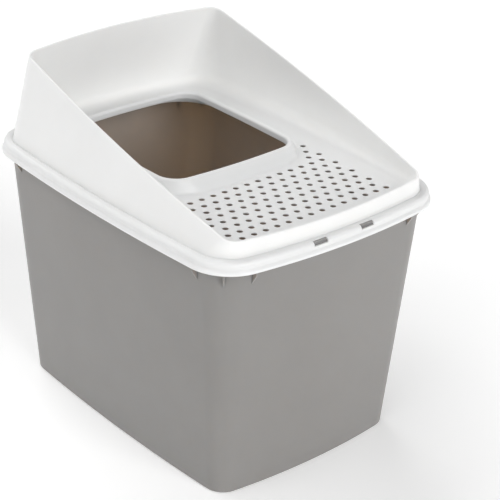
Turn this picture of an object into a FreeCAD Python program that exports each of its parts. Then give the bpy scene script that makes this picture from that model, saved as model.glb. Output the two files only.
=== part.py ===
import FreeCAD, Part
import math
import os

# Top-entry cat litter box: a deep tapered tub, and a lift-off lid that carries a
# perforated tread, a raised collar round the way in, and a splash guard that is
# high at the back and falls to a low lip at the front.
# Millimetres. Origin: centre of the tub's underside. +Z up, -Y is the front (low lip).

# ---- Plan shape: a rectangle with bowed sides and round corners ----
lid_half_width = 200.0        # at mid-side, outside of the skirt
lid_half_length = 264.5       # at mid-end, outside of the skirt
lid_corner_radius = 62.0
side_bow_radius = 2900.0      # the long sides bulge on this radius
end_bow_radius = 1000.0       # the ends bulge on this radius

# ---- Tub ----
tub_height = 356.5            # underside to the flat top of the rim
tub_wall = 2.5
tub_floor = 3.0
tub_draft = 4.45              # degrees that the walls lean outwards going up
tub_foot_radius = 3.0         # rounding of the bottom edge
tub_foot_corner_radius = 29.0
tub_mouth_corner_radius = 45.0
tub_overhang = 14.0           # tub wall to outside of the lid skirt, at the rim
rim_thickness = 3.0
rim_lip_drop = 10.0           # the rim's turned-down edge
rim_lip_thickness = 2.0
rim_edge_margin = 1.0         # its outer edge is rounder than the hollow of the bead by this

gusset_thickness = 2.2
gusset_drop = 33.5            # below the rim's underside
gusset_side_setback = 60.5    # fin on a side wall, from the mouth's end
gusset_end_setback = 55.0     # fin on an end wall, from the mouth's side

# ---- Lid rim: skirt, rounded bead, ledge ----
lid_wall = 2.5
skirt_drop = 14.0             # skirt's lower edge, below the rim's flat top
skirt_band = 3.5              # height of the flared band along the skirt's edge
skirt_flare = 3.0             # how far that band stands out past the bead
skirt_blend = 3.5             # height over which the flare runs out
bead_radius = 5.0
ledge_width = 7.5             # flat top, from the bead's crest to the guard
valley_depth = 1.0            # shallow groove along the foot of the guard
valley_width = 2.0
rim_clearance = 0.5           # bead to the tub's rim, all round

# ---- Latches: a lug on the tub's rim stands in a window in the bead ----
latch_spacing = 78.0          # centre to centre, on each end
latch_width = 21.5
latch_height = 1.9
latch_clearance = 0.4
window_sill = 3.0             # the window's lower edge, below the rim's flat top
window_reach = 1.2            # the window's upper edge, inside the bead's crest

# ---- Splash guard ----
guard_wall = 3.0
guard_side_lean = 13.7        # top edge inside the foot, on each side
guard_end_lean = 22.7         # mean of front and back
guard_top_shift = -18.4       # the top edge's centre, towards the front
guard_mean_height = 79.4      # top edge above the deck at mid-length of the lid
guard_slope = 14.13           # degrees that the top edge rises towards the back
guard_top_corner_radius = 19.0

# ---- Deck and its holes ----
deck_thickness = 2.5
hole_radius = 4.0
hole_pitch = 18.8
hole_side_margin = 45.0       # guard to the nearest hole's edge, at the sides
hole_front_margin = 48.5      # guard to the first row's centres
hole_land = 6.0               # least width of deck between a hole and the collar
hole_rows = 11

# ---- Entry collar ----
entry_half_width = 106.8
entry_half_length = 118.2
entry_corner_radius = 27.7
entry_centre_y = 66.9
collar_height = 17.6          # crest above the deck
collar_roll_radius = 4.0
collar_wall = 2.0
collar_throat_depth = 10.4    # crest to the lower edge of the throat
collar_side_spread = 18.5     # throat to the collar's foot, at the sides
collar_end_spread = 20.6      # the same at the ends
collar_foot_corner_radius = 64.0

overcut = 1.0                 # how far a cutting shape runs past the face that it cuts

# ---- Worked out from the sizes above ----
deck_top = tub_height + max(lid_wall, deck_thickness)
deck_underside = deck_top - deck_thickness
skirt_bottom = tub_height - skirt_drop
bead_inset = skirt_flare
rim_inset = bead_inset + lid_wall + rim_clearance
rim_edge_radius = bead_radius - lid_wall + rim_edge_margin
guard_inset = bead_inset + bead_radius + ledge_width
row_pitch = hole_pitch * math.sqrt(3.0) / 2.0
collar_front = entry_centre_y - entry_half_length - collar_end_spread


def vector(x, y, z=0.0):
    return FreeCAD.Vector(x, y, z)


def corner_centre(half_width, half_length, radius):
    """Centre of the corner arc that is tangent to the bowed side and the bowed end."""
    side_centre_x = half_width - side_bow_radius
    end_centre_y = half_length - end_bow_radius
    from_side = side_bow_radius - radius
    from_end = end_bow_radius - radius
    span = math.hypot(side_centre_x, end_centre_y)
    along = (from_side**2 - from_end**2 + span**2) / (2.0 * span)
    across = math.sqrt(from_side**2 - along**2)
    unit_x = -side_centre_x / span
    unit_y = end_centre_y / span
    x = side_centre_x + unit_x * along - unit_y * across
    y = unit_y * along + unit_x * across
    return x, y


def outline(half_width, half_length, radius, z=0.0, offset=0.0, centre_y=0.0):
    """Closed wire of tangent arcs that starts at the middle of the +X side.

    offset moves the whole line outwards by that much, and keeps its centres.
    """
    corner_x, corner_y = corner_centre(half_width, half_length, radius)
    side_centre_x = half_width - side_bow_radius
    end_centre_y = half_length - end_bow_radius
    start_angle = math.atan2(corner_y, corner_x - side_centre_x)
    end_angle = math.atan2(corner_y - end_centre_y, corner_x)
    side_radius = side_bow_radius + offset
    end_radius = end_bow_radius + offset
    corner_radius = radius + offset

    def on_side(angle):
        return (side_centre_x + side_radius * math.cos(angle), side_radius * math.sin(angle))

    def on_corner(angle):
        return (corner_x + corner_radius * math.cos(angle), corner_y + corner_radius * math.sin(angle))

    def on_end(angle):
        return (end_radius * math.cos(angle), end_centre_y + end_radius * math.sin(angle))

    middle = (start_angle + end_angle) / 2.0
    quarter = [on_side(0.0), on_side(start_angle / 2.0), on_side(start_angle), on_corner(middle),
               on_corner(end_angle), on_end((end_angle + math.pi / 2.0) / 2.0), on_end(math.pi / 2.0)]
    loop = quarter + [(-x, y) for x, y in quarter[-2::-1]]
    loop += [(x, -y) for x, y in loop[-2::-1]]
    points = [vector(x, y + centre_y, z) for x, y in loop]
    arcs = [Part.Arc(*points[i:i + 3]).toShape() for i in range(0, len(points) - 1, 2)]
    return Part.Wire(arcs)


def lid_outline(inset=0.0, z=0.0):
    """Plan line that lies this far inside the skirt's outside."""
    return outline(lid_half_width, lid_half_length, lid_corner_radius, z, -inset)


def slab(wire, thickness):
    """Flat plate of this outline, standing on it."""
    return Part.Face(wire).extrude(vector(0, 0, thickness))


def lofted(lower, upper):
    """Solid with straight walls between two outlines."""
    return Part.makeLoft([lower, upper], True, True)


def arc_point(centre_out, centre_z, radius, degrees):
    """Point of a section's arc, with 0 pointing outwards and 90 up."""
    angle = math.radians(degrees)
    return (centre_out + radius * math.cos(angle), centre_z + radius * math.sin(angle))


def section_edges(corners):
    """Edges of a section whose points are (distance outwards, z).

    An entry with two points is an arc, by its middle and its end.
    """
    def place(point):
        return vector(point[0], 0.0, point[1])

    edges = []
    last = corners[0]
    for entry in corners[1:]:
        if isinstance(entry[0], tuple):
            middle, end = entry
            edges.append(Part.Arc(place(last), place(middle), place(end)).toShape())
        else:
            end = entry
            edges.append(Part.makeLine(place(last), place(end)))
        last = end
    return edges


def ring_faces(path, edges):
    """Faces that a section leaves behind as it is carried round an outline, arc by arc."""
    faces = []
    for arc in path.Edges:
        start = arc.valueAt(arc.FirstParameter)
        centre = arc.Curve.Center
        heading = math.degrees(math.atan2(start.y - centre.y, start.x - centre.x))
        turn = math.degrees(arc.Length / arc.Curve.Radius)
        for edge in edges:
            placed = edge.copy()
            placed.rotate(vector(0, 0), vector(0, 0, 1), heading)
            placed.translate(vector(start.x, start.y))
            faces.append(placed.revolve(vector(centre.x, centre.y), vector(0, 0, 1), turn))
    return faces


def wall_faces(lower, upper):
    """Straight walls between two outlines, one face for each pair of arcs."""
    return [Part.makeRuledSurface(*pair) for pair in zip(lower.Edges, upper.Edges)]


def annulus_face(outer, inner):
    """Flat face between two outlines at one height."""
    return Part.makeFace([outer, inner], "Part::FaceMakerBullseye")


def sewn_solid(faces):
    shell = Part.makeShell(faces)
    shell.sewShape()
    return Part.makeSolid(shell)


def ring_solid(path, corners):
    """Ring with a closed section."""
    return sewn_solid(ring_faces(path, section_edges(corners + corners[:1])))


# ---- Tub: sizes at any height ----
mouth_half_width = lid_half_width - tub_overhang
mouth_half_length = lid_half_length - tub_overhang
wall_top = tub_height - rim_thickness


def tub_outline(z, inset=0.0):
    """The tub's outside at height z, or a line that much inside it."""
    lean = math.tan(math.radians(tub_draft)) * (wall_top - z)
    share = z / wall_top
    radius = tub_foot_corner_radius + (tub_mouth_corner_radius - tub_foot_corner_radius) * share
    return outline(mouth_half_width - lean, mouth_half_length - lean, radius, z, -inset)


def make_tub_shell():
    """Injection-moulded tub: floor and four bowed, leaning walls."""
    draft = math.radians(tub_draft)
    blend_z = tub_foot_radius * (1.0 - math.sin(draft))
    blend_centre = (-tub_foot_radius * math.cos(draft), tub_foot_radius)
    blend = section_edges([(0.0, blend_z), (arc_point(*blend_centre, tub_foot_radius, -45.0),
                                            arc_point(*blend_centre, tub_foot_radius, -90.0))])
    outer_foot = tub_outline(blend_z)
    outer_top = tub_outline(wall_top)
    inner_foot = tub_outline(tub_floor, tub_wall)
    inner_top = tub_outline(wall_top, tub_wall)
    underside = tub_outline(blend_z, -blend_centre[0])
    underside.translate(vector(0, 0, -blend_z))
    faces = wall_faces(outer_foot, outer_top) + ring_faces(outer_foot, blend) + [Part.Face(underside)]
    faces += wall_faces(inner_foot, inner_top) + [Part.Face(inner_foot), annulus_face(outer_top, inner_top)]
    return sewn_solid(faces)


def make_tub_rim():
    """Flat rim on top of the walls, with its outer edge turned down."""
    inner = -tub_overhang - tub_wall
    outer = -rim_inset
    lip_inner = outer - rim_lip_thickness
    lip_bottom = tub_height - rim_lip_drop
    edge_centre = (outer - rim_edge_radius, tub_height - rim_edge_radius)
    edge_arc = (arc_point(*edge_centre, rim_edge_radius, 45.0),
                arc_point(*edge_centre, rim_edge_radius, 90.0))
    section = [(inner, wall_top), (lip_inner, wall_top), (lip_inner, lip_bottom), (outer, lip_bottom),
               (outer, edge_centre[1]), edge_arc, (inner, tub_height)]
    return ring_solid(lid_outline(), section)


def make_rim_gussets(tub_body):
    """Thin triangular fins between the wall and the rim's turned-down edge, three at each corner."""
    lean = gusset_drop * math.tan(math.radians(tub_draft))
    root = -2.0 * lean
    reach = tub_overhang
    lip_bottom = tub_height - rim_lip_drop
    fin_bottom = wall_top - gusset_drop
    profile = [vector(root, 0, wall_top), vector(reach, 0, wall_top), vector(reach, 0, lip_bottom),
               vector(-lean, 0, fin_bottom), vector(root, 0, fin_bottom)]
    plate = Part.Face(Part.makePolygon(profile + [profile[0]])).extrude(vector(0, gusset_thickness, 0))
    plate.translate(vector(0, -gusset_thickness / 2.0, 0))

    mouth = Part.Face(outline(mouth_half_width, mouth_half_length, tub_mouth_corner_radius))
    under_rim = slab(lid_outline(rim_inset + rim_lip_thickness, fin_bottom), gusset_drop)
    corner_x, corner_y = corner_centre(mouth_half_width, mouth_half_length, tub_mouth_corner_radius)
    side_y = mouth_half_length - gusset_side_setback
    end_x = mouth_half_width - gusset_end_setback
    stations = [(0.0, 0.0, side_y), (45.0, corner_x, corner_y), (90.0, end_x, 0.0)]
    fins = []
    for angle, x, y in stations:
        heading = vector(math.cos(math.radians(angle)), math.sin(math.radians(angle)))
        ray = Part.makeLine(vector(x, y), vector(x, y) + heading * 2.0 * mouth_half_length)
        to_wall = ray.common(mouth).Length
        fin = plate.copy()
        fin.rotate(vector(0, 0, 0), vector(0, 0, 1), angle)
        fin.translate(vector(x, y) + heading * to_wall)
        fins.append(fin.common(under_rim).cut(tub_body))
    fins += [fin.mirror(vector(0, 0, 0), vector(1, 0, 0)) for fin in fins]
    fins += [fin.mirror(vector(0, 0, 0), vector(0, 1, 0)) for fin in fins]
    return Part.makeCompound([solid for fin in fins for solid in fin.Solids])


def latch_box(width, out_inset, in_inset, bottom, top):
    """Four boxes, one at each latch, between two insets from the skirt's outside."""
    boxes = []
    for side in (-1, 1):
        for end in (-1, 1):
            low_y = min(end * (lid_half_length - out_inset), end * (lid_half_length - in_inset))
            corner = vector(side * latch_spacing / 2.0 - width / 2.0, low_y, bottom)
            boxes.append(Part.makeBox(width, abs(in_inset - out_inset), top - bottom, corner))
    return boxes


latch_sag = latch_spacing**2 / (8.0 * end_bow_radius)
window_depth = bead_inset + bead_radius + window_reach + latch_sag


def make_latch_lugs(rim):
    """Low lugs moulded on the rim, one in each window of the lid."""
    inner_radius = bead_radius - lid_wall
    sill_rise = (tub_height - window_sill) - (deck_top - bead_radius)
    sill_inset = bead_inset + bead_radius - math.sqrt(inner_radius**2 - sill_rise**2)
    outer_sag = (latch_spacing + latch_width)**2 / (8.0 * end_bow_radius)
    lugs = latch_box(latch_width, sill_inset + latch_clearance + outer_sag, window_depth - latch_clearance,
                     tub_height - rim_thickness / 2.0, tub_height + latch_height)
    return Part.makeCompound([lug.cut(rim) for lug in lugs])


def make_lid_rim():
    """Skirt, bead and ledge, which sit over the tub's rim."""
    crest = deck_top
    bead_centre = (-bead_inset - bead_radius, crest - bead_radius)
    inner_radius = bead_radius - lid_wall
    blend_top = skirt_bottom + skirt_band + skirt_blend
    section = [
        (0.0, skirt_bottom), (0.0, skirt_bottom + skirt_band), (-bead_inset, blend_top),
        (-bead_inset, bead_centre[1]),
        (arc_point(*bead_centre, bead_radius, 45.0), arc_point(*bead_centre, bead_radius, 90.0)),
        (-guard_inset + valley_width, crest), (-guard_inset, crest - valley_depth),
        (-guard_inset, crest - lid_wall),
        arc_point(*bead_centre, inner_radius, 90.0),
        (arc_point(*bead_centre, inner_radius, 45.0), arc_point(*bead_centre, inner_radius, 0.0)),
        (-bead_inset - lid_wall, blend_top), (-lid_wall, skirt_bottom + skirt_band),
        (-lid_wall, skirt_bottom)]
    ring = ring_solid(lid_outline(), section)
    windows = latch_box(latch_width + 2.0 * latch_clearance, -overcut, window_depth,
                        tub_height - window_sill, crest + overcut)
    return ring.cut(Part.makeCompound(windows))


def guard_outline(inset):
    """The guard's top edge, in the plane that rises towards the back."""
    slope = math.radians(guard_slope)
    half_width = lid_half_width - guard_inset - guard_side_lean
    half_length = (lid_half_length - guard_inset - guard_end_lean) / math.cos(slope)
    wire = outline(half_width, half_length, guard_top_corner_radius, 0.0, -inset)
    wire.rotate(vector(0, 0, 0), vector(1, 0, 0), guard_slope)
    middle_height = deck_top + guard_mean_height + guard_top_shift * math.tan(slope)
    wire.translate(vector(0, guard_top_shift, middle_height))
    return wire


def make_guard_wall():
    """Splash guard: one wall all round, highest at the back."""
    outside = lofted(lid_outline(guard_inset, deck_top), guard_outline(0.0))
    inside = lofted(lid_outline(guard_inset + guard_wall, deck_top), guard_outline(guard_wall))
    return outside.cut(inside)


def entry_outline(offset, z=0.0):
    """Plan line that lies this far outside the throat."""
    return outline(entry_half_width, entry_half_length, entry_corner_radius, z, offset, entry_centre_y)


def collar_foot_outline(offset, z):
    """Plan line of the collar's foot on the deck, or a parallel one."""
    return outline(entry_half_width + collar_side_spread, entry_half_length + collar_end_spread,
                   collar_foot_corner_radius, z, offset, entry_centre_y)


def make_entry_collar():
    """Raised collar: leaning wall, rolled crest and short throat, all one wall."""
    crest = deck_top + collar_height
    roll_centre = (collar_roll_radius, crest - collar_roll_radius)
    roll_z = roll_centre[1]
    inner_radius = collar_roll_radius - collar_wall
    throat_bottom = crest - collar_throat_depth
    outer_side = 2.0 * collar_roll_radius
    inner_side = outer_side - collar_wall
    section = [
        (outer_side, roll_z),
        (arc_point(*roll_centre, collar_roll_radius, 90.0), (0.0, roll_z)),
        (0.0, throat_bottom), (collar_wall, throat_bottom), (collar_wall, roll_z),
        (arc_point(*roll_centre, inner_radius, 90.0), (inner_side, roll_z))]
    faces = ring_faces(entry_outline(0.0), section_edges(section))
    outer_foot = collar_foot_outline(0.0, deck_top)
    inner_foot = collar_foot_outline(-collar_wall, deck_top)
    faces += wall_faces(outer_foot, entry_outline(outer_side, roll_z))
    faces += wall_faces(inner_foot, entry_outline(inner_side, roll_z))
    faces.append(annulus_face(outer_foot, inner_foot))
    return sewn_solid(faces)


def hole_centres(collar_foot):
    """Staggered rows; a hole is left out where it would come too near the collar."""
    first_row = -(lid_half_length - guard_inset - guard_wall - hole_front_margin)
    reach = lid_half_width - guard_inset - guard_wall - hole_side_margin - hole_radius
    centres = []
    for row in range(hole_rows):
        y = first_row + row * row_pitch
        offset = 0.0 if row % 2 == 0 else 0.5
        count = int(reach / hole_pitch - offset)
        steps = [k + offset for k in range(count + 1)]
        for x in sorted({sign * step * hole_pitch for step in steps for sign in (-1, 1)}):
            gap = collar_foot.distToShape(Part.Vertex(x, y, deck_top))[0]
            if gap >= hole_radius + hole_land:
                centres.append((x, y))
    return centres


def make_deck():
    """The deck in two nodes: the perforated tread in front, and the part round the collar."""
    below = deck_underside - overcut
    through = deck_thickness + 2.0 * overcut
    centres = hole_centres(Part.Face(collar_foot_outline(0.0, deck_top)))
    drills = [Part.makeCylinder(hole_radius, through, vector(x, y, below)) for x, y in centres]
    plate = slab(lid_outline(guard_inset, deck_underside), deck_thickness)
    plate = plate.cut(slab(collar_foot_outline(-collar_wall, below), through))
    plate = plate.cut(Part.makeCompound(drills))
    last_front_row = max(y for x, y in centres if y < collar_front)
    split_y = last_front_row + row_pitch / 2.0
    front_box = Part.makeBox(2.0 * lid_half_width, lid_half_length + split_y, through,
                             vector(-lid_half_width, -lid_half_length, below))
    return plate.common(front_box), plate.cut(front_box), len(centres)


def main():
    tub_body = lofted(tub_outline(0.0), tub_outline(wall_top))
    tub_rim = make_tub_rim()
    tread_plate, collar_deck, hole_count = make_deck()
    nodes = {
        "tub_shell": make_tub_shell(),
        "tub_rim": tub_rim,
        "rim_gussets": make_rim_gussets(tub_body),
        "latch_lugs": make_latch_lugs(tub_rim),
        "lid_rim": make_lid_rim(),
        "tread_plate": tread_plate,
        "collar_deck": collar_deck,
        "entry_collar": make_entry_collar(),
        "splash_guard": make_guard_wall(),
    }
    os.makedirs("parts", exist_ok=True)
    for name, shape in nodes.items():
        shape.exportStep(os.path.join("parts", name + ".step"))
        box = shape.optimalBoundingBox(True, False)
        print(f"{name}: {len(shape.Solids)} solids, valid {shape.isValid()}, {shape.Volume / 1000:.1f} cm3,",
              f"x {box.XMin:.1f} to {box.XMax:.1f}, y {box.YMin:.1f} to {box.YMax:.1f},",
              f"z {box.ZMin:.1f} to {box.ZMax:.1f}")
    print("holes:", hole_count)


main()
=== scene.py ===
import math

import bmesh
import bpy
from mathutils import Matrix, Vector
from mathutils.geometry import delaunay_2d_cdt


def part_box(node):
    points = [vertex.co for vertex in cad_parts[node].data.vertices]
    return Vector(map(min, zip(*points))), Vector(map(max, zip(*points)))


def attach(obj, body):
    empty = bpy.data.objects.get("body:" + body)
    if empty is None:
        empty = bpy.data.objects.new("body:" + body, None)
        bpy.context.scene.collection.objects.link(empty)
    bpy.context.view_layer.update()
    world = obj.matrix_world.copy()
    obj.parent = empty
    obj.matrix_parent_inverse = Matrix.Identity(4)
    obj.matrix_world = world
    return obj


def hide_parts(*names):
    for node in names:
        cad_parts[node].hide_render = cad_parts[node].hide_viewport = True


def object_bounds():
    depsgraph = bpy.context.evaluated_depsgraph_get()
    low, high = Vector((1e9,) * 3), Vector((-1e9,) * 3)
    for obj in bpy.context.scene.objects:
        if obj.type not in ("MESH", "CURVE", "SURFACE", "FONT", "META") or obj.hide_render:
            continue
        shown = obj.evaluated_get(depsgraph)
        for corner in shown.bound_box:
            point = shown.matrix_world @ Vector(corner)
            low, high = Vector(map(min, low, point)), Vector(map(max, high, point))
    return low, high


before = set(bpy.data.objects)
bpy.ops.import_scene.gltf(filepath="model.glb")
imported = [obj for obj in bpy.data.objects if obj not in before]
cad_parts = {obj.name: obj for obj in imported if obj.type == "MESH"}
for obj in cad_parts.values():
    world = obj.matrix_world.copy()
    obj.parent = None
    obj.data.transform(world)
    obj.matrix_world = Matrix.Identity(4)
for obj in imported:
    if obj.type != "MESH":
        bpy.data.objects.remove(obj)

cad_low, cad_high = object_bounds()

# ---- The tub ----
# One injection moulding in grey polypropylene: a floor, four bowed walls that lean outwards
# going up, and a flat rim that turns down along its outer edge. The lid rests on the rim.
# Its mesh is one closed skin, from the floor up the inside, over the rim and down the outside.
shell_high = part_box("tub_shell")[1]
rim_low, rim_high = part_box("tub_rim")
skirt_low, skirt_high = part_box("lid_rim")
side_bow = 2.9
end_bow = 1.0
side_steps = 10
corner_steps = 16
end_steps = 10
tub_wall = 0.0025
tub_floor = 0.003
tub_draft = math.radians(4.45)
tub_foot_corner = 0.029
tub_mouth_corner = 0.045
tub_foot_round = 0.003
tub_round_steps = 5
wall_steps = 8
floor_cove = 0.007            # the inside corner between floor and wall
foot_ring = 0.012             # width of the ring that the tub stands on
foot_ring_slope = 0.002
underside_recess = 0.0008     # the rest of the underside is this far off the ground
rim_lip = 0.002               # thickness of the turned-down edge
rim_edge_round = 0.0035
rim_mouth_round = 0.0012
rim_lip_round = 0.0007
rim_root = 0.0015             # the rim's underside starts this far outside the wall
inner_wall_gap = 0.001        # the wall's rows stop this far below the rim inside
outer_wall_gap = 0.0012       # and this far below it outside
lid_corner = 0.062
weld = 1e-6                   # points closer than this are one point
crease = math.radians(35.0)   # a turn sharper than this is shaded as an edge


def corner_centre(half_width, half_length, radius):
    """Centre of the corner arc that is tangent to the bowed side and the bowed end."""
    side_x = half_width - side_bow
    end_y = half_length - end_bow
    from_side = side_bow - radius
    from_end = end_bow - radius
    span = math.hypot(side_x, end_y)
    along = (from_side**2 - from_end**2 + span**2) / (2.0 * span)
    across = math.sqrt(from_side**2 - along**2)
    return (side_x - side_x / span * along - end_y / span * across,
            end_y / span * along - side_x / span * across)


def plan_line(half_width, half_length, radius, z=0.0, offset=0.0, centre_y=0.0):
    """Loop of points round a rectangle with bowed sides, moved outwards by offset."""
    corner_x, corner_y = corner_centre(half_width, half_length, radius)
    side_x = half_width - side_bow
    end_y = half_length - end_bow
    start = math.atan2(corner_y, corner_x - side_x)
    finish = math.atan2(corner_y - end_y, corner_x)
    arcs = [(side_x, 0.0, side_bow, 0.0, start, side_steps),
            (corner_x, corner_y, radius, start, finish, corner_steps),
            (0.0, end_y, end_bow, finish, math.pi / 2.0, end_steps)]
    quarter = []
    for x, y, arc_radius, first, last, steps in arcs:
        for step in range(steps):
            angle = first + (last - first) * step / steps
            reach = arc_radius + offset
            quarter.append((x + reach * math.cos(angle), y + reach * math.sin(angle)))
    half = quarter + [(0.0, half_length + offset)] + [(-x, y) for x, y in reversed(quarter[1:])]
    return [Vector((x, y + centre_y, z)) for x, y in half + [(-x, -y) for x, y in half]]


def lid_line(out, z):
    """Loop this far outside the skirt's face, so a negative number is inside it."""
    return plan_line(skirt_high.x, skirt_high.y, lid_corner, z, out)


def tub_line(z, inset=0.0):
    """The tub's outside at this height, or a parallel line inside it."""
    lean = math.tan(tub_draft) * (shell_high.z - z)
    share = z / shell_high.z
    radius = tub_foot_corner + (tub_mouth_corner - tub_foot_corner) * share
    return plan_line(shell_high.x - lean, shell_high.y - lean, radius, z, -inset)


def at_height(loop, z):
    """The same loop, laid flat at this height."""
    return [Vector((point.x, point.y, z)) for point in loop]


def rounded(corners, steps=5):
    """Section line through (out, z, radius) corners, each turned on an arc of its radius."""
    line = []
    for index, (out, z, radius) in enumerate(corners):
        here = Vector((out, z))
        if radius == 0.0:
            line.append((out, z))
            continue
        back = (Vector(corners[index - 1][:2]) - here).normalized()
        ahead = (Vector(corners[index + 1][:2]) - here).normalized()
        half_angle = back.angle(ahead) / 2.0
        centre = here + (back + ahead).normalized() * radius / math.sin(half_angle)
        first = here + back * radius / math.tan(half_angle) - centre
        last = here + ahead * radius / math.tan(half_angle) - centre
        turn = first.angle_signed(last)
        for step in range(steps + 1):
            spoke = first.copy()
            spoke.rotate(Matrix.Rotation(-turn * step / steps, 2))
            line.append(tuple(centre + spoke))
    return line


def add_strip(mesh, loops):
    """Skins neighbouring loops with quads, and returns the loops' vertices."""
    rows = [[mesh.verts.new(point) for point in loop] for loop in loops]
    for row, after in zip(rows, rows[1:]):
        for index in range(len(row)):
            following = (index + 1) % len(row)
            mesh.faces.new((row[index], row[following], after[following], after[index]))
    return rows


def finished(name, mesh, material):
    """Object from this mesh: closed, smooth, sharp where it turns hard, lit by its large faces."""
    bmesh.ops.remove_doubles(mesh, verts=mesh.verts, dist=weld)
    bmesh.ops.recalc_face_normals(mesh, faces=mesh.faces)
    data = bpy.data.meshes.new(name)
    mesh.to_mesh(data)
    mesh.free()
    data.shade_smooth()
    data.set_sharp_from_angle(angle=crease)
    data.materials.append(material)
    piece = bpy.data.objects.new(name, data)
    bpy.context.scene.collection.objects.link(piece)
    weighting = piece.modifiers.new("even_shading", "WEIGHTED_NORMAL")
    weighting.keep_sharp = True
    return piece


def linear(code):
    """Linear colour from an sRGB hex value."""
    parts = [int(code[i:i + 2], 16) / 255.0 for i in (1, 3, 5)]
    return tuple(p / 12.92 if p <= 0.04045 else ((p + 0.055) / 1.055) ** 2.4 for p in parts) + (1.0,)


def add_node(tree, kind, **sockets):
    """Adds a node; each named socket takes a number, a colour or another node's socket."""
    made = tree.nodes.new(kind)
    for key, value in sockets.items():
        socket = made.inputs[key.replace("_", " ")]
        if isinstance(value, bpy.types.NodeSocket):
            tree.links.new(value, socket)
        else:
            socket.default_value = value
    return made


flow_width = 0.085            # drift of the colour where the melt flowed
grain_width = 0.0011          # the mould's real grain is 0.3 mm, too fine to show, so it is coarser
grain_strength = 0.35
polish_spread = 0.05          # how far the roughness varies each way over the grain
plastic_ior = 1.49            # polypropylene


def moulded_polypropylene(name, colour, shade, roughness, grain_depth, glow, glow_reach):
    """Polypropylene, injection moulded in a mould with a fine spark-eroded grain.

    The grain gives a soft even sheen with no clear reflection. The plastic lets some light
    through: glow is the share that enters it, and glow_reach how far red, green and blue go.
    """
    material = bpy.data.materials.new(name)
    material.use_nodes = True
    tree = material.node_tree
    tree.nodes.clear()
    place = add_node(tree, "ShaderNodeTexCoord").outputs["Object"]
    flow = add_node(tree, "ShaderNodeTexNoise", Vector=place, Scale=1.0 / flow_width,
                    Detail=3.0, Roughness=0.55)
    tint = add_node(tree, "ShaderNodeValToRGB", Fac=flow.outputs["Fac"])
    tint.color_ramp.elements[0].position = 0.3
    tint.color_ramp.elements[0].color = linear(shade)
    tint.color_ramp.elements[1].position = 0.7
    tint.color_ramp.elements[1].color = linear(colour)
    grain = add_node(tree, "ShaderNodeTexNoise", Vector=place, Scale=1.0 / grain_width,
                     Detail=2.0, Roughness=0.6)
    polish = add_node(tree, "ShaderNodeMapRange", Value=grain.outputs["Fac"],
                      To_Min=roughness - polish_spread, To_Max=roughness + polish_spread)
    bump = add_node(tree, "ShaderNodeBump", Strength=grain_strength, Distance=grain_depth,
                    Height=grain.outputs["Fac"])
    shader = add_node(tree, "ShaderNodeBsdfPrincipled", Base_Color=tint.outputs["Color"],
                      Roughness=polish.outputs["Result"], IOR=plastic_ior,
                      Normal=bump.outputs["Normal"], Subsurface_Weight=glow,
                      Subsurface_Radius=glow_reach, Subsurface_Scale=1.0)
    add_node(tree, "ShaderNodeOutputMaterial", Surface=shader.outputs["BSDF"])
    return material


# Satin mid grey outside. The thin walls pass more red than blue, so the inside glows warm brown.
grey_polypropylene = moulded_polypropylene(
    "polypropylene_injection_moulded_grey", "#8d8b89", "#8a8886", roughness=0.42,
    grain_depth=0.00004, glow=0.6, glow_reach=(0.013, 0.0106, 0.0086))

foot_z = tub_floor + floor_cove
rim_top = rim_high.z
rim_out = rim_high.x - skirt_high.x
wall_out = shell_high.x - skirt_high.x
mouth_out = wall_out - tub_wall
inner_wall_top = shell_high.z - inner_wall_gap
outer_wall_top = shell_high.z - outer_wall_gap
tub_loops = []
for step in range(tub_round_steps + 1):
    angle = math.pi / 2.0 * step / tub_round_steps
    tub_loops.append(tub_line(foot_z - floor_cove * math.cos(angle),
                              tub_wall + floor_cove * (1.0 - math.sin(angle))))
for step in range(1, wall_steps + 1):
    tub_loops.append(tub_line(foot_z + (inner_wall_top - foot_z) * step / wall_steps, tub_wall))
rim_section = rounded([
    (mouth_out, shell_high.z, 0.0),
    (mouth_out, rim_top, rim_mouth_round),
    (rim_out, rim_top, rim_edge_round),
    (rim_out, rim_low.z, rim_lip_round),
    (rim_out - rim_lip, rim_low.z, rim_lip_round),
    (rim_out - rim_lip, shell_high.z, rim_mouth_round),
    (wall_out + rim_root, shell_high.z, 0.0)])
tub_loops += [lid_line(out, z) for out, z in rim_section]
for step in range(wall_steps + 1):
    drop = (outer_wall_top - tub_foot_round) * step / wall_steps
    tub_loops.append(tub_line(outer_wall_top - drop))
for step in range(1, tub_round_steps + 1):
    angle = math.pi / 2.0 * step / tub_round_steps
    foot = tub_line(tub_foot_round, tub_foot_round * (1.0 - math.cos(angle)))
    tub_loops.append(at_height(foot, tub_foot_round * (1.0 - math.sin(angle))))
tub_loops.append(at_height(tub_line(0.0, foot_ring), 0.0))
tub_loops.append(at_height(tub_line(0.0, foot_ring + foot_ring_slope), underside_recess))
tub_mesh = bmesh.new()
tub_rows = add_strip(tub_mesh, tub_loops)
tub_mesh.faces.new(tub_rows[0])
tub_mesh.faces.new(tub_rows[-1])
tub = finished("tub", tub_mesh, grey_polypropylene)
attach(tub, "tub")
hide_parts("tub_shell", "tub_rim")

# ---- The tub's fins and latch lugs ----
# Moulded in one with the tub, in the same grey: three thin fins under the rim at each corner,
# which stiffen it, and two low lugs on top of the rim at each end, which stand in the lid's
# windows. Both keep their exact shapes from the frame.
for node in ("rim_gussets", "latch_lugs"):
    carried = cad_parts[node]
    carried.data.materials.clear()
    carried.data.materials.append(grey_polypropylene)

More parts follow.
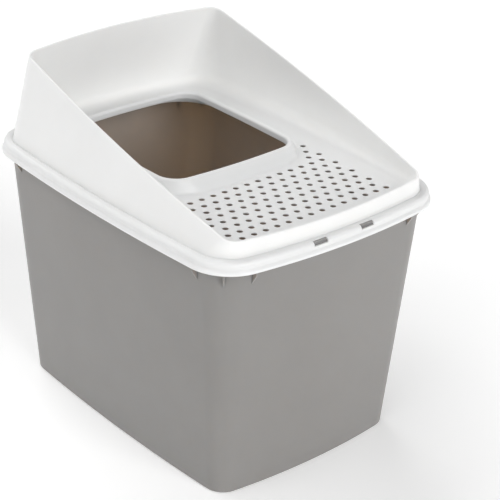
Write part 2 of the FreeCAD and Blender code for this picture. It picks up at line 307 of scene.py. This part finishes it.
# ---- The lid: skirt, bead, ledge and splash guard ----
# One injection moulding in white polypropylene. The skirt and the rounded bead sit over the
# tub's rim, and the splash guard leans inwards from the ledge, high at the back and low in
# front. A soft cove turns its foot into the deck, and its top edge is rounded over.
collar_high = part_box("entry_collar")[1]
deck_low, deck_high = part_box("collar_deck")
deck_top = deck_high.z
deck_under = deck_low.z
crest = skirt_high.z
skirt_bottom = skirt_low.z
lid_wall = 0.0025
skirt_band = 0.0035
skirt_flare = 0.003
skirt_blend = 0.0035
skirt_edge_round = 0.0007
band_round = 0.0025
band_inner_round = 0.0015
blend_inner_round = 0.002
bead_radius = 0.005
ledge_width = 0.0075
groove_depth = 0.001          # shallow groove along the guard's outer foot
groove_width = 0.0025
groove_wall = 0.0002          # its inner side starts this far outside the guard
groove_start = 0.0005         # and this far above the ledge
groove_floor = 0.0004         # and ends this far outside the guard
groove_round = 0.0006
groove_shoulder_round = 0.003
guard_inset = skirt_flare + bead_radius + ledge_width
guard_wall = 0.003
guard_side_lean = 0.0137
guard_end_lean = 0.0227
guard_top_shift = -0.0184
guard_mean_height = 0.0794
guard_slope = math.radians(14.13)
guard_top_corner = 0.019
guard_edge_round = 0.0013
guard_edge_steps = 4
guard_steps = 5
guard_heel = 0.0025           # lowest row on the guard's outside, above its foot
cove = 0.018
cove_steps = 8
hold = 0.002                  # flat strip beside a curve, which keeps the deck's shading flat
section_steps = 7


def guard_line(inset):
    """The guard's top edge, in the plane that rises towards the back."""
    half_width = skirt_high.x - guard_inset - guard_side_lean
    half_length = (skirt_high.y - guard_inset - guard_end_lean) / math.cos(guard_slope)
    tilt = Matrix.Rotation(guard_slope, 4, "X")
    height = deck_top + guard_mean_height + guard_top_shift * math.tan(guard_slope)
    lift = Matrix.Translation((0.0, guard_top_shift, height))
    return [lift @ tilt @ p for p in plan_line(half_width, half_length, guard_top_corner, 0.0, -inset)]


def between(lower, upper, share):
    """Loop part of the way from one loop to another."""
    return [a.lerp(b, share) for a, b in zip(lower, upper)]


def corner_arc(corner, first, last, reach, steps):
    """Loops that turn from the side of first to the side of last round a corner loop."""
    loops = []
    for step in range(steps + 1):
        angle = math.pi / 2.0 * step / steps
        loop = []
        for at, a, b in zip(corner, first, last):
            to_first = (a - at).normalized() * reach
            to_last = (b - at).normalized() * reach
            loop.append(at + to_first * (1.0 - math.sin(angle)) + to_last * (1.0 - math.cos(angle)))
        loops.append(loop)
    return loops


# Satin white. Light passes evenly through the thin walls, which lifts the guard's inner faces.
white_polypropylene = moulded_polypropylene(
    "polypropylene_injection_moulded_white", "#f1f1f0", "#eeeeed", roughness=0.4,
    grain_depth=0.00003, glow=0.7, glow_reach=(0.0062, 0.006, 0.0058))

deck_inset = guard_inset + guard_wall + cove + hold
guard_foot_in = lid_line(-guard_inset - guard_wall, deck_top)
guard_foot_out = lid_line(-guard_inset, deck_top)
guard_top_in = guard_line(guard_wall)
guard_top_out = guard_line(0.0)
deck_edge = lid_line(-deck_inset, deck_top)
cove_loops = corner_arc(guard_foot_in, deck_edge, guard_top_in, cove, cove_steps)
inner_turn = corner_arc(guard_top_in, guard_foot_in, guard_top_out, guard_edge_round, guard_edge_steps)
outer_turn = corner_arc(guard_top_out, guard_top_in, guard_foot_out, guard_edge_round, guard_edge_steps)
shares = [step / guard_steps for step in range(1, guard_steps)]
lid_loops = [deck_edge] + cove_loops
lid_loops += [between(cove_loops[-1], inner_turn[0], share) for share in shares]
lid_loops += inner_turn + outer_turn
lid_loops += [between(outer_turn[-1], guard_foot_out, share) for share in shares]
lid_loops.append([foot + (top - foot).normalized() * guard_heel
                  for foot, top in zip(guard_foot_out, guard_top_out)])
band_top = skirt_bottom + skirt_band
blend_top = skirt_bottom + skirt_band + skirt_blend
skirt_section = rounded([
    (-guard_inset + groove_wall, crest + groove_start, 0.0),
    (-guard_inset + groove_floor, crest - groove_depth, groove_round),
    (-guard_inset + groove_width, crest, groove_shoulder_round),
    (-skirt_flare, crest, bead_radius),
    (-skirt_flare, blend_top, band_round),
    (0.0, band_top, band_round),
    (0.0, skirt_bottom, skirt_edge_round),
    (-lid_wall, skirt_bottom, skirt_edge_round),
    (-lid_wall, band_top, band_inner_round),
    (-skirt_flare - lid_wall, blend_top, blend_inner_round),
    (-skirt_flare - lid_wall, deck_under, bead_radius - lid_wall),
    (-deck_inset, deck_under, 0.0)], section_steps)
lid_loops += [lid_line(out, z) for out, z in skirt_section]
lid_mesh = bmesh.new()
lid_rows = add_strip(lid_mesh, lid_loops)
deck_top_outer = lid_rows[0]
deck_under_outer = lid_rows[-1]

# ---- The entry collar ----
# Part of the lid's moulding: a raised wall round the way in, which leans in from a wide foot
# to a rolled crest and ends in a short throat. It is open underneath, one wall thick all over.
entry_half_width = 0.1068
entry_half_length = 0.1182
entry_corner = 0.0277
entry_centre_y = 0.0669
collar_roll = 0.004
collar_wall = 0.002
throat_depth = 0.0104
throat_edge_round = 0.0007
throat_edge_steps = 4
collar_side_spread = 0.0185
collar_end_spread = 0.0206
collar_foot_corner = 0.064
collar_foot_round = 0.003
collar_foot_steps = 5
roll_start = math.radians(35.0)
outer_roll_steps = 14
inner_roll_steps = 8
roll_z = collar_high.z - collar_roll
throat_bottom = collar_high.z - throat_depth


def entry_line(out, z):
    """Loop this far outside the throat."""
    return plan_line(entry_half_width, entry_half_length, entry_corner, z, out, entry_centre_y)


def collar_foot_line(out, z):
    """Loop this far outside the collar's foot."""
    return plan_line(entry_half_width + collar_side_spread, entry_half_length + collar_end_spread,
                     collar_foot_corner, z, out, entry_centre_y)


def roll_loops(radius, first, last, steps):
    """Loops over the rolled crest, between two angles measured up from its outer side."""
    loops = []
    for step in range(steps + 1):
        angle = first + (last - first) * step / steps
        loops.append(entry_line(collar_roll + radius * math.cos(angle), roll_z + radius * math.sin(angle)))
    return loops


collar_foot = collar_foot_line(0.0, deck_top)
collar_edge = collar_foot_line(collar_foot_round + hold, deck_top)
outer_roll = roll_loops(collar_roll, roll_start, math.pi, outer_roll_steps)
inner_roll = roll_loops(collar_roll - collar_wall, math.pi, roll_start, inner_roll_steps)
throat_edge = rounded([
    (0.0, roll_z, 0.0),
    (0.0, throat_bottom, throat_edge_round),
    (collar_wall, throat_bottom, throat_edge_round),
    (collar_wall, roll_z, 0.0)], throat_edge_steps)
collar_loops = [collar_edge]
collar_loops += corner_arc(collar_foot, collar_edge, outer_roll[0], collar_foot_round, collar_foot_steps)
collar_loops.append(between(collar_loops[-1], outer_roll[0], 0.5))
collar_loops += outer_roll
collar_loops += [entry_line(out, z) for out, z in throat_edge[1:-1]]
collar_loops += inner_roll
collar_loops.append(collar_foot_line(-collar_wall, deck_top))
collar_loops.append(collar_foot_line(-collar_wall, deck_under))
collar_rows = add_strip(lid_mesh, collar_loops)
deck_top_inner = collar_rows[0]
deck_under_inner = collar_rows[-1]

# ---- The deck and its litter-return holes ----
# The flat floor of the lid, with 8 mm holes in staggered rows 18.8 mm apart, which let litter
# fall from the cat's feet back into the tub. Each hole has a soft upper edge and is
# countersunk from below, so that nothing lodges in it.
hole_radius = 0.004
hole_pitch = 0.0188
hole_side_margin = 0.045      # guard to the nearest hole's edge, at the sides
hole_front_margin = 0.0485    # guard to the first row's centres
hole_land = 0.006             # least width of deck between a hole and the collar
hole_rows = 11
hole_round = 0.0005
hole_hold = 0.0005            # flat strip round the edge, which keeps the deck's shading flat
hole_edge = 0.001             # depth before the countersink starts
hole_edge_round = 0.0002
hole_relief = 0.0015          # how far the countersink widens the hole
hole_steps = 3
hole_segments = 28
flat_scale = 1000.0           # the deck is triangulated in millimetres
flat_weld = 1e-6              # and points this close, in those millimetres, are one point
inside_share = 0.985          # a triangle centred within this share of a rim's radius is a hole's


def distance_outside(loop, x, y):
    """Distance from a point to a loop, or less than zero inside it."""
    here = Vector((x, y))
    nearest = 1.0
    crossings = 0
    for a, b in zip(loop, loop[1:] + loop[:1]):
        start = a.to_2d()
        end = b.to_2d()
        run = end - start
        share = max(0.0, min(1.0, (here - start).dot(run) / run.length_squared))
        nearest = min(nearest, (start + run * share - here).length)
        if (start.y > y) != (end.y > y) and x < start.x + (y - start.y) / run.y * run.x:
            crossings += 1
    return -nearest if crossings % 2 else nearest


def ring(centre, radius, z):
    """Circle of points, in one turn."""
    turn = 2.0 * math.pi / hole_segments
    return [Vector((centre[0] + radius * math.cos(k * turn), centre[1] + radius * math.sin(k * turn), z))
            for k in range(hole_segments)]


def fill_deck(outer, inner, rims):
    """Flat face between the outer loop, the collar and every hole, in triangles."""
    loops = [outer, inner] + rims
    verts = [vert for loop in loops for vert in loop]
    edges = []
    start = 0
    for loop in loops:
        edges += [(start + k, start + (k + 1) % len(loop)) for k in range(len(loop))]
        start += len(loop)
    flat = [vert.co.to_2d() * flat_scale for vert in verts]
    found = delaunay_2d_cdt(flat, edges, [], 0, flat_weld)
    inner_loop = [vert.co.copy() for vert in inner]
    outer_loop = [vert.co.copy() for vert in outer]
    rim_reach = (rims[0][0].co - Vector((holes[0][0], holes[0][1], rims[0][0].co.z))).length
    for face in found[2]:
        x = sum(found[0][k].x for k in face) / len(face) / flat_scale
        y = sum(found[0][k].y for k in face) / len(face) / flat_scale
        in_hole = any(math.hypot(x - hx, y - hy) < rim_reach * inside_share for hx, hy in holes)
        in_entry = distance_outside(inner_loop, x, y) < 0.0
        if in_hole or in_entry or distance_outside(outer_loop, x, y) > 0.0:
            continue
        lid_mesh.faces.new([verts[found[3][k][0]] for k in face])


first_row = -(skirt_high.y - guard_inset - guard_wall - hole_front_margin)
row_reach = skirt_high.x - guard_inset - guard_wall - hole_side_margin - hole_radius
holes = []
for row in range(hole_rows):
    y = first_row + row * hole_pitch * math.sqrt(3.0) / 2.0
    offset = 0.5 * (row % 2)
    steps = [k + offset for k in range(int(row_reach / hole_pitch - offset) + 1)]
    for x in sorted({sign * step * hole_pitch for step in steps for sign in (-1, 1)}):
        if distance_outside(collar_foot, x, y) >= hole_radius + hole_land:
            holes.append((x, y))

hole_section = rounded([
    (hole_radius + hole_round + hole_hold, deck_top, 0.0),
    (hole_radius, deck_top, hole_round),
    (hole_radius, deck_top - hole_edge, hole_edge_round),
    (hole_radius + hole_relief, deck_under, 0.0)], hole_steps)
top_rims = []
under_rims = []
for centre in holes:
    hole_row = add_strip(lid_mesh, [ring(centre, out, z) for out, z in hole_section])
    top_rims.append(hole_row[0])
    under_rims.append(hole_row[-1])
fill_deck(deck_top_outer, deck_top_inner, top_rims)
fill_deck(deck_under_outer, deck_under_inner, under_rims)

# ---- The latch windows, and the finished lid ----
# Two windows at each end of the lid, cut through the bead where the tub's lugs stand. They
# are cut by exact subtraction, so the bead keeps its full wall round them.
latch_spacing = 0.078
window_width = 0.0223
window_sill = 0.003           # the window's lower edge, below the deck's underside
window_reach = 0.0012         # its upper edge, inside the bead's crest
cutter_depth = 0.02
cutter_height = 0.01
latch_sag = latch_spacing**2 / (8.0 * end_bow)
window_inner = skirt_high.y - skirt_flare - bead_radius - window_reach - latch_sag

cutter_mesh = bmesh.new()
cutter_size = Vector((window_width, cutter_depth, cutter_height))
for side in (-1, 1):
    for end in (-1, 1):
        low_x = side * latch_spacing / 2.0 - window_width / 2.0
        cutter_low = Vector((low_x, window_inner, deck_under - window_sill))
        place = Matrix.Translation(cutter_low + cutter_size / 2.0) @ Matrix.Diagonal(cutter_size.to_4d())
        cutter_verts = bmesh.ops.create_cube(cutter_mesh, size=1.0, matrix=place)["verts"]
        if end < 0:
            for vert in cutter_verts:
                vert.co.y = -vert.co.y
bmesh.ops.recalc_face_normals(cutter_mesh, faces=cutter_mesh.faces)
cutter_data = bpy.data.meshes.new("window_cutter")
cutter_mesh.to_mesh(cutter_data)
cutter_mesh.free()
cutter = bpy.data.objects.new("window_cutter", cutter_data)
bpy.context.scene.collection.objects.link(cutter)

blank = finished("lid_blank", lid_mesh, white_polypropylene)
blank.modifiers.clear()
cut = blank.modifiers.new("windows", "BOOLEAN")
cut.operation = "DIFFERENCE"
cut.solver = "EXACT"
cut.object = cutter
cut_data = bpy.data.meshes.new_from_object(blank.evaluated_get(bpy.context.evaluated_depsgraph_get()))
lid_mesh = bmesh.new()
lid_mesh.from_mesh(cut_data)
bpy.data.objects.remove(blank)
bpy.data.objects.remove(cutter)
lid = finished("lid", lid_mesh, white_polypropylene)
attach(lid, "lid")
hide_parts("lid_rim", "tread_plate", "collar_deck", "entry_collar", "splash_guard")

# ---- The floor ----
# A wide sheet of matt white studio board, which the box stands on. It is nearly even in
# colour, and gives off a little light so that it reads as pure white.
floor_half_size = 12.0
floor_mottle_width = 0.25     # drift in the paint's tone
floor_roughness = 0.9
floor_glow = 0.16

matt_board = bpy.data.materials.new("studio_board_painted_matt_white")
matt_board.use_nodes = True
board_tree = matt_board.node_tree
board_tree.nodes.clear()
board_place = add_node(board_tree, "ShaderNodeTexCoord").outputs["Object"]
board_mottle = add_node(board_tree, "ShaderNodeTexNoise", Vector=board_place,
                        Scale=1.0 / floor_mottle_width, Detail=2.0)
board_tint = add_node(board_tree, "ShaderNodeValToRGB", Fac=board_mottle.outputs["Fac"])
board_tint.color_ramp.elements[0].color = linear("#fbfbfb")
board_tint.color_ramp.elements[1].color = linear("#fefefe")
board_shader = add_node(board_tree, "ShaderNodeBsdfPrincipled", Base_Color=board_tint.outputs["Color"],
                        Roughness=floor_roughness, Emission_Color=(1.0, 1.0, 1.0, 1.0),
                        Emission_Strength=floor_glow)
add_node(board_tree, "ShaderNodeOutputMaterial", Surface=board_shader.outputs["BSDF"])
floor_mesh = bmesh.new()
bmesh.ops.create_grid(floor_mesh, x_segments=4, y_segments=4, size=floor_half_size)
floor_data = bpy.data.meshes.new("floor")
floor_mesh.to_mesh(floor_data)
floor_mesh.free()
floor_data.materials.append(matt_board)
floor = bpy.data.objects.new("floor", floor_data)
floor.location.z = cad_low.z
bpy.context.scene.collection.objects.link(floor)

# ---- The light ----
# Four large softboxes, far off: one low in front, two high at the left and the back, and a
# faint one at the right, under a dim even sky. White plastic is shown without a film curve.
sky_strength = 0.125


def soft_lamp(name, strength, spread, direction):
    """Broad, far-off lamp that shines from this direction, as a large softbox does."""
    data = bpy.data.lights.new(name, "SUN")
    data.energy = strength * math.pi
    data.angle = math.radians(spread)
    lamp = bpy.data.objects.new(name, data)
    lamp.rotation_euler = Vector(direction).to_track_quat("Z", "Y").to_euler()
    bpy.context.scene.collection.objects.link(lamp)


soft_lamp("front_lamp", 0.58, 40.0, (0.0, -1.0, 0.45))
soft_lamp("left_lamp", 0.34, 60.0, (-1.0, 0.0, 0.9))
soft_lamp("back_lamp", 0.48, 60.0, (0.0, 1.0, 0.9))
soft_lamp("right_lamp", 0.09, 40.0, (1.0, 0.0, 0.45))
world = bpy.data.worlds.new("studio")
world.use_nodes = True
sky = world.node_tree.nodes["Background"]
sky.inputs["Color"].default_value = (1.0, 1.0, 1.0, 1.0)
sky.inputs["Strength"].default_value = sky_strength
bpy.context.scene.world = world
bpy.context.scene.view_settings.view_transform = "Standard"

# ---- The camera ----
# It stands in front and to the left, looks down on the box from above the guard, and leans
# over a little to one side.
camera_place = Vector((-1.34785, -1.62367, 1.32033))
camera_yaw = math.radians(-41.1886)
camera_pitch = math.radians(27.3866)
camera_roll = math.radians(2.0553)
camera_lens = 125.12
camera_film = 36.0

back = Vector((math.sin(camera_yaw) * math.cos(camera_pitch),
               -math.cos(camera_yaw) * math.cos(camera_pitch),
               math.sin(camera_pitch)))
level = Vector((math.cos(camera_yaw), math.sin(camera_yaw), 0.0))
right = Matrix.Rotation(camera_roll, 3, back) @ level
up = back.cross(right)
camera_data = bpy.data.cameras.new("camera")
camera_data.lens = camera_lens
camera_data.sensor_width = camera_film
camera = bpy.data.objects.new("camera", camera_data)
facing = Matrix((right, up, back)).transposed().to_4x4()
camera.matrix_world = Matrix.Translation(camera_place) @ facing
bpy.context.scene.collection.objects.link(camera)
bpy.context.scene.camera = camera
